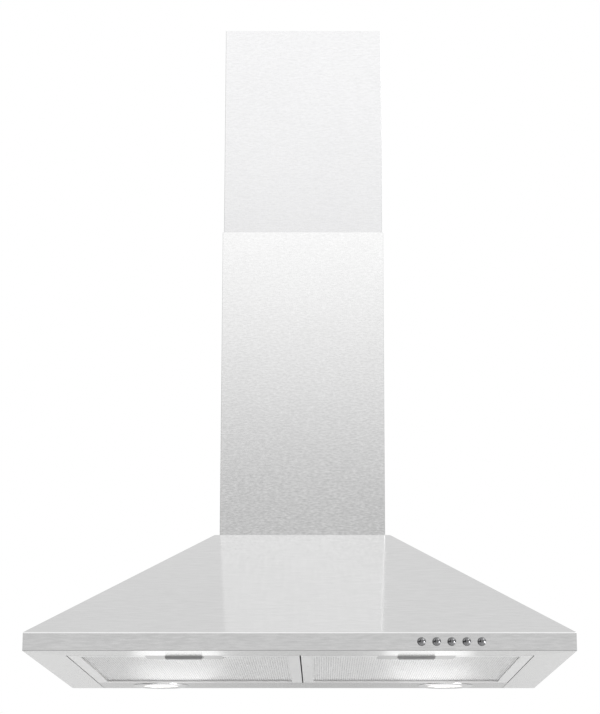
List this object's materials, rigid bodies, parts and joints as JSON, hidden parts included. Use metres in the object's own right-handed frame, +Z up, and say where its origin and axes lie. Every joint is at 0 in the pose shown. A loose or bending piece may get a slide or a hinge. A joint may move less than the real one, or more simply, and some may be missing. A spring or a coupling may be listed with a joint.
{
  "type": "chimney range hood",
  "caption": "Wall-mounted pyramid range hood in brushed steel with telescopic chimney, swing-down mesh filters, round lamps and push buttons.",
  "frame": {"origin": "middle of the back panel's lower edge, in the wall plane, level with the rim's lower edge", "axes": "+Z up along the chimney, +Y into the wall, -Y out towards the cook, +X to the right of someone facing the hood"},
  "size_m": [0.6, 0.48, 0.838],
  "materials": {
    "canopy_steel": "brushed along the width, semi-gloss",
    "strip_steel": "brushed along the width",
    "chimney_steel": "finely brushed across",
    "galvanised_steel": "zinc coated",
    "can_aluminium": "drawn, satin",
    "motor_case": "satin",
    "bezel_steel": "satin",
    "lamp_glass": "frosted",
    "capsule_glass": "clear",
    "holder_ceramic": "matte ceramic",
    "black_plastic": "matte",
    "board": "coated board",
    "blower_plastic": "matte",
    "wheel_plastic": "matte",
    "screw_steel": "zinc plated",
    "rivet_aluminium": "bare",
    "grommet_rubber": "matte",
    "box_plastic": "matte",
    "capacitor_plastic": "semi-gloss",
    "filter_aluminium": "satin",
    "mesh_aluminium": "expanded, bright",
    "latch_plate": "satin",
    "latch_grip": "satin dark grey",
    "button_chrome": "polished"
  },
  "bodies": {
    "hood": {"canopy_shell": "canopy_steel", "back_panel": "galvanised_steel", "front_strip": "strip_steel", "side_strip_left": "strip_steel", "side_strip_right": "strip_steel", "lamp_panel": "strip_steel", "lamp_bezel_left": "bezel_steel", "lamp_bezel_right": "bezel_steel", "lamp_lens_left": "lamp_glass", "lamp_lens_right": "lamp_glass", "lamp_can_left": "can_aluminium", "lamp_can_right": "can_aluminium", "lamp_clips": "galvanised_steel", "lamp_holders": "holder_ceramic", "lamp_capsules": "capsule_glass", "switch_housing": "black_plastic", "switch_board": "board", "micro_switches": "black_plastic", "switch_bracket": "galvanised_steel", "blower_shell_left": "blower_plastic", "blower_shell_right": "blower_plastic", "motor": "motor_case", "motor_bracket": "galvanised_steel", "motor_grommets": "grommet_rubber", "blower_screws": "screw_steel", "blower_feet": "galvanised_steel", "duct_collar": "black_plastic", "flap_pin": "screw_steel", "junction_box": "box_plastic", "junction_lid": "box_plastic", "cable_gland": "black_plastic", "capacitor": "capacitor_plastic", "capacitor_clamp": "galvanised_steel", "chimney_angles": "galvanised_steel", "angle_rivets": "rivet_aluminium", "lower_chimney": "chimney_steel", "joint_bracket": "galvanised_steel"},
    "upper_chimney": {"upper_chimney": "chimney_steel", "upper_bracket": "galvanised_steel", "bracket_screws": "screw_steel"},
    "impeller": {"impeller_disc": "wheel_plastic", "impeller_blades": "wheel_plastic", "impeller_rings": "wheel_plastic", "impeller_shaft": "screw_steel"},
    "filter_left": {"filter_frame_left": "filter_aluminium", "filter_mesh_left": "mesh_aluminium", "latch_plate_left": "latch_plate", "latch_spring_left": "screw_steel"},
    "latch_left": {"latch_left": "latch_grip"},
    "flap_left": {"flap_left": "black_plastic"},
    "filter_right": {"filter_frame_right": "filter_aluminium", "filter_mesh_right": "mesh_aluminium", "latch_plate_right": "latch_plate", "latch_spring_right": "screw_steel"},
    "latch_right": {"latch_right": "latch_grip"},
    "flap_right": {"flap_right": "black_plastic"},
    "button_1": {"button_1": "button_chrome"},
    "button_2": {"button_2": "button_chrome"},
    "button_3": {"button_3": "button_chrome"},
    "button_4": {"button_4": "button_chrome"},
    "button_5": {"button_5": "button_chrome"}
  },
  "joints": [
    {"name": "chimney_slide", "type": "slide", "parent": "hood", "child": "upper_chimney", "axis": [0, 0, 1], "range_m": [-0.225, 0.075]},
    {"name": "impeller_spin", "type": "hinge", "parent": "hood", "child": "impeller", "pos_m": [0, -0.082, 0.154], "axis": [1, 0, 0], "continuous": true},
    {"name": "filter_left_swing", "type": "hinge", "parent": "hood", "child": "filter_left", "pos_m": [-0.12937, -0.079, 0], "axis": [1, 0, 0], "range_deg": [0, 50]},
    {"name": "latch_left_slide", "type": "slide", "parent": "filter_left", "child": "latch_left", "axis": [0, 1, 0], "range_m": [0, 0.008], "stiffness_N_per_m": 350, "springref_m": -0.004, "deforming": ["latch_spring_left"]},
    {"name": "flap_left_swing", "type": "hinge", "parent": "hood", "child": "flap_left", "pos_m": [0, -0.09, 0.268], "axis": [0, 1, 0], "range_deg": [0, 75]},
    {"name": "filter_right_swing", "type": "hinge", "parent": "hood", "child": "filter_right", "pos_m": [0.12937, -0.079, 0], "axis": [1, 0, 0], "range_deg": [0, 50]},
    {"name": "latch_right_slide", "type": "slide", "parent": "filter_right", "child": "latch_right", "axis": [0, 1, 0], "range_m": [0, 0.008], "stiffness_N_per_m": 350, "springref_m": -0.004, "deforming": ["latch_spring_right"]},
    {"name": "flap_right_swing", "type": "hinge", "parent": "hood", "child": "flap_right", "pos_m": [0, -0.09, 0.268], "axis": [0, -1, 0], "range_deg": [0, 75]},
    {"name": "button_1_press", "type": "slide", "parent": "hood", "child": "button_1", "axis": [0, 1, 0], "range_m": [0, 0.003], "stiffness_N_per_m": 600, "springref_m": -0.0015},
    {"name": "button_2_press", "type": "slide", "parent": "hood", "child": "button_2", "axis": [0, 1, 0], "range_m": [0, 0.003], "stiffness_N_per_m": 600, "springref_m": -0.0015},
    {"name": "button_3_press", "type": "slide", "parent": "hood", "child": "button_3", "axis": [0, 1, 0], "range_m": [0, 0.003], "stiffness_N_per_m": 600, "springref_m": -0.0015},
    {"name": "button_4_press", "type": "slide", "parent": "hood", "child": "button_4", "axis": [0, 1, 0], "range_m": [0, 0.003], "stiffness_N_per_m": 600, "springref_m": -0.0015},
    {"name": "button_5_press", "type": "slide", "parent": "hood", "child": "button_5", "axis": [0, 1, 0], "range_m": [0, 0.003], "stiffness_N_per_m": 600, "springref_m": -0.0015}
  ]
}
